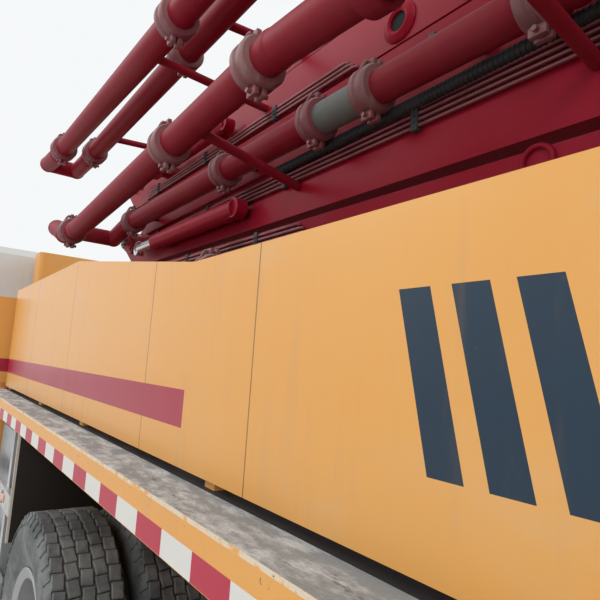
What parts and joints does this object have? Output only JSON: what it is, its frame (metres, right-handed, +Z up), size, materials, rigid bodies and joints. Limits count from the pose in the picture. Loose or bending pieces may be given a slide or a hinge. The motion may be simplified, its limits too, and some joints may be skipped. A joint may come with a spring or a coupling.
{
  "type": "concrete pump truck with a folded placing boom",
  "caption": "Long lorry with a white cab, orange side panels, hopper, folding support legs and a folded crimson placing boom with delivery pipes.",
  "frame": {"origin": "on the ground under the middle of the truck", "axes": "+X forward, +Y to the left, +Z up"},
  "size_m": [12.6, 2.83, 3.6518],
  "materials": {
    "tyre": "dusty rubber",
    "boom_crimson": "gloss paint, dusty",
    "pipe_red": "worn satin paint",
    "rod_chrome": "polished",
    "orange_paint": "gloss paint",
    "window_glass": "clear",
    "chassis_dark": "satin paint, dusty",
    "cab_white": "gloss paint",
    "cast_metal": "rough",
    "cab_plastic": "grained",
    "seat_fabric": "woven",
    "guard_aluminium": "brushed",
    "tank_metal": "dull",
    "hopper_grey": "satin paint",
    "worn_steel": "worn"
  },
  "bodies": {
    "truck": {"chassis_frame": "chassis_dark", "engine": "cast_metal", "axles": "chassis_dark", "bumper": "cab_white", "substructure": "orange_paint", "water_box": "orange_paint", "deck": "orange_paint", "mudguards": "chassis_dark", "side_panels": "orange_paint", "side_guards": "guard_aluminium", "tanks": "tank_metal", "hopper": "hopper_grey", "pump_unit": "hopper_grey"},
    "cab": {"cab_shell": "cab_white", "cab_glass": "window_glass", "cab_interior": "cab_plastic", "seats": "seat_fabric"},
    "door_left": {"door_left": "cab_white", "glass_left": "window_glass"},
    "door_right": {"door_right": "cab_white", "glass_right": "window_glass"},
    "turret": {"turret": "boom_crimson"},
    "lift_barrel": {"lift_barrel": "boom_crimson"},
    "lift_rod": {"lift_rod": "rod_chrome"},
    "arm_1": {"arm_1": "boom_crimson", "pipe_1": "pipe_red"},
    "arm_2": {"arm_2": "boom_crimson", "pipe_2": "pipe_red"},
    "arm_3": {"arm_3": "boom_crimson", "pipe_3": "pipe_red"},
    "arm_4": {"arm_4": "boom_crimson", "pipe_4": "pipe_red"},
    "arm_5": {"arm_5": "boom_crimson", "pipe_5": "pipe_red"},
    "rod_b": {"rod_b": "rod_chrome"},
    "rod_c": {"rod_c": "rod_chrome"},
    "rod_d": {"rod_d": "rod_chrome"},
    "rod_e": {"rod_e": "rod_chrome"},
    "hopper_grate": {"hopper_grate": "chassis_dark"},
    "agitator": {"agitator": "worn_steel"},
    "leg_front_left": {"leg_front_left": "orange_paint"},
    "leg_front_right": {"leg_front_right": "orange_paint"},
    "leg_rear_left": {"leg_rear_left": "orange_paint"},
    "leg_rear_right": {"leg_rear_right": "orange_paint"},
    "jack_front_left": {"jack_front_left": "rod_chrome"},
    "jack_front_right": {"jack_front_right": "rod_chrome"},
    "jack_rear_left": {"jack_rear_left": "rod_chrome"},
    "jack_rear_right": {"jack_rear_right": "rod_chrome"},
    "knuckle_1_left": {"knuckle_1_left": "chassis_dark"},
    "knuckle_1_right": {"knuckle_1_right": "chassis_dark"},
    "knuckle_2_left": {"knuckle_2_left": "chassis_dark"},
    "knuckle_2_right": {"knuckle_2_right": "chassis_dark"},
    "wheel_1_left": {"wheel_1_left": "tyre"},
    "wheel_1_right": {"wheel_1_right": "tyre"},
    "wheel_2_left": {"wheel_2_left": "tyre"},
    "wheel_2_right": {"wheel_2_right": "tyre"},
    "wheel_3_left": {"wheel_3_left": "tyre"},
    "wheel_3_right": {"wheel_3_right": "tyre"},
    "wheel_4_left": {"wheel_4_left": "tyre"},
    "wheel_4_right": {"wheel_4_right": "tyre"}
  },
  "joints": [
    {"name": "boom_slew", "type": "hinge", "parent": "truck", "child": "turret", "pos_m": [2.55, 0, 1.65], "axis": [0, 0, 1], "range_deg": [-185, 185]},
    {"name": "boom_lift", "type": "hinge", "parent": "turret", "child": "arm_1", "pos_m": [2.8, 0, 2.26], "axis": [0, 1, 0], "range_deg": [0, 85]},
    {"name": "fold_b", "type": "hinge", "parent": "arm_1", "child": "arm_2", "pos_m": [-5.3, 0, 2.445], "axis": [0, -1, 0], "range_deg": [0, 180]},
    {"name": "fold_c", "type": "hinge", "parent": "arm_2", "child": "arm_3", "pos_m": [1.6, 0, 2.775], "axis": [0, 1, 0], "range_deg": [0, 180]},
    {"name": "fold_d", "type": "hinge", "parent": "arm_3", "child": "arm_4", "pos_m": [-5.05, 0, 3.215], "axis": [0, -1, 0], "range_deg": [0, 180]},
    {"name": "fold_e", "type": "hinge", "parent": "arm_4", "child": "arm_5", "pos_m": [1.95, 0, 3.44], "axis": [0, 1, 0], "range_deg": [0, 180]},
    {"name": "lift_barrel_turn", "type": "hinge", "parent": "turret", "child": "lift_barrel", "pos_m": [2.15, 0, 1.8], "axis": [0, 1, 0], "range_deg": [0, 88.63]},
    {"name": "lift_rod_slide", "type": "slide", "parent": "lift_barrel", "child": "lift_rod", "axis": [-0.9973, 0, 0.0739], "range_m": [0, 1.0706]},
    {"name": "rod_b_slide", "type": "slide", "parent": "arm_1", "child": "rod_b", "axis": [-1, 0, 0], "range_m": [0, 0.3505]},
    {"name": "rod_c_slide", "type": "slide", "parent": "arm_2", "child": "rod_c", "axis": [1, 0, 0], "range_m": [0, 0.3505]},
    {"name": "rod_d_slide", "type": "slide", "parent": "arm_3", "child": "rod_d", "axis": [-1, 0, 0], "range_m": [0, 0.3505]},
    {"name": "rod_e_slide", "type": "slide", "parent": "arm_4", "child": "rod_e", "axis": [1, 0, 0], "range_m": [0, 0.3505]},
    {"name": "cab_tilt", "type": "hinge", "parent": "truck", "child": "cab", "pos_m": [6.1, 0, 1.1], "axis": [0, 1, 0], "range_deg": [0, 55]},
    {"name": "door_left_swing", "type": "hinge", "parent": "cab", "child": "door_left", "pos_m": [5.966, 1.215, 1.9], "axis": [0, 0, -1], "range_deg": [0, 70]},
    {"name": "door_right_swing", "type": "hinge", "parent": "cab", "child": "door_right", "pos_m": [5.966, -1.215, 1.9], "axis": [0, 0, 1], "range_deg": [0, 70]},
    {"name": "steer_1_left", "type": "hinge", "parent": "truck", "child": "knuckle_1_left", "pos_m": [4.85, 0.8975, 0.52], "axis": [0, 0, 1], "range_deg": [-35, 35]},
    {"name": "wheel_1_left_roll", "type": "hinge", "parent": "knuckle_1_left", "child": "wheel_1_left", "pos_m": [4.85, 1.0875, 0.52], "axis": [0, 1, 0], "continuous": true},
    {"name": "steer_1_right", "type": "hinge", "parent": "truck", "child": "knuckle_1_right", "pos_m": [4.85, -0.8975, 0.52], "axis": [0, 0, 1], "range_deg": [-35, 35]},
    {"name": "wheel_1_right_roll", "type": "hinge", "parent": "knuckle_1_right", "child": "wheel_1_right", "pos_m": [4.85, -1.0875, 0.52], "axis": [0, 1, 0], "continuous": true},
    {"name": "steer_2_left", "type": "hinge", "parent": "truck", "child": "knuckle_2_left", "pos_m": [2.85, 0.8975, 0.52], "axis": [0, 0, 1], "range_deg": [-24.5, 24.5]},
    {"name": "wheel_2_left_roll", "type": "hinge", "parent": "knuckle_2_left", "child": "wheel_2_left", "pos_m": [2.85, 1.0875, 0.52], "axis": [0, 1, 0], "continuous": true},
    {"name": "steer_2_right", "type": "hinge", "parent": "truck", "child": "knuckle_2_right", "pos_m": [2.85, -0.8975, 0.52], "axis": [0, 0, 1], "range_deg": [-24.5, 24.5]},
    {"name": "wheel_2_right_roll", "type": "hinge", "parent": "knuckle_2_right", "child": "wheel_2_right", "pos_m": [2.85, -1.0875, 0.52], "axis": [0, 1, 0], "continuous": true},
    {"name": "wheel_3_left_roll", "type": "hinge", "parent": "truck", "child": "wheel_3_left", "pos_m": [-1, 0.94, 0.52], "axis": [0, 1, 0], "continuous": true},
    {"name": "wheel_3_right_roll", "type": "hinge", "parent": "truck", "child": "wheel_3_right", "pos_m": [-1, -0.94, 0.52], "axis": [0, 1, 0], "continuous": true},
    {"name": "wheel_4_left_roll", "type": "hinge", "parent": "truck", "child": "wheel_4_left", "pos_m": [-2.35, 0.94, 0.52], "axis": [0, 1, 0], "continuous": true},
    {"name": "wheel_4_right_roll", "type": "hinge", "parent": "truck", "child": "wheel_4_right", "pos_m": [-2.35, -0.94, 0.52], "axis": [0, 1, 0], "continuous": true},
    {"name": "leg_front_left_swing", "type": "hinge", "parent": "truck", "child": "leg_front_left", "pos_m": [3.22, 1.09, 1.7], "axis": [0, 0, -1], "range_deg": [0, 110]},
    {"name": "jack_front_left_slide", "type": "slide", "parent": "leg_front_left", "child": "jack_front_left", "axis": [0, 0, -1], "range_m": [0, 0.75]},
    {"name": "leg_rear_left_swing", "type": "hinge", "parent": "truck", "child": "leg_rear_left", "pos_m": [-3.26, 1.09, 0.94], "axis": [0, 0, -1], "range_deg": [0, 75]},
    {"name": "jack_rear_left_slide", "type": "slide", "parent": "leg_rear_left", "child": "jack_rear_left", "axis": [0, 0, -1], "range_m": [0, 0.45]},
    {"name": "leg_front_right_swing", "type": "hinge", "parent": "truck", "child": "leg_front_right", "pos_m": [3.22, -1.09, 1.7], "axis": [0, 0, 1], "range_deg": [0, 110]},
    {"name": "jack_front_right_slide", "type": "slide", "parent": "leg_front_right", "child": "jack_front_right", "axis": [0, 0, -1], "range_m": [0, 0.75]},
    {"name": "leg_rear_right_swing", "type": "hinge", "parent": "truck", "child": "leg_rear_right", "pos_m": [-3.26, -1.09, 0.94], "axis": [0, 0, 1], "range_deg": [0, 75]},
    {"name": "jack_rear_right_slide", "type": "slide", "parent": "leg_rear_right", "child": "jack_rear_right", "axis": [0, 0, -1], "range_m": [0, 0.45]},
    {"name": "grate_lift", "type": "hinge", "parent": "truck", "child": "hopper_grate", "pos_m": [-6.255, 0, 1.482], "axis": [0, -1, 0], "range_deg": [0, 95]},
    {"name": "agitator_turn", "type": "hinge", "parent": "truck", "child": "agitator", "pos_m": [-5.66, 0, 1], "axis": [0, 1, 0], "continuous": true}
  ],
  "couplings": [
    {"joint": "boom_slew", "follows": "boom_lift", "ratio": 2.1155},
    {"joint": "fold_b", "follows": "boom_lift", "ratio": 2.1174},
    {"joint": "fold_c", "follows": "boom_lift", "ratio": 2.1174},
    {"joint": "fold_d", "follows": "boom_lift", "ratio": 2.1174},
    {"joint": "fold_e", "follows": "boom_lift", "ratio": 2.1174},
    {"joint": "lift_barrel_turn", "follows": "boom_lift", "ratio": 1.0415},
    {"joint": "lift_rod_slide", "follows": "boom_lift", "m_per_rad": 0.72135},
    {"joint": "rod_b_slide", "follows": "boom_lift", "m_per_rad": 0.23592},
    {"joint": "rod_c_slide", "follows": "boom_lift", "m_per_rad": 0.23592},
    {"joint": "rod_d_slide", "follows": "boom_lift", "m_per_rad": 0.23592},
    {"joint": "rod_e_slide", "follows": "boom_lift", "m_per_rad": 0.23592},
    {"joint": "steer_1_right", "follows": "steer_1_left", "ratio": 1},
    {"joint": "steer_2_left", "follows": "steer_1_left", "ratio": 0.6999},
    {"joint": "steer_2_right", "follows": "steer_1_left", "ratio": 0.6999}
  ]
}
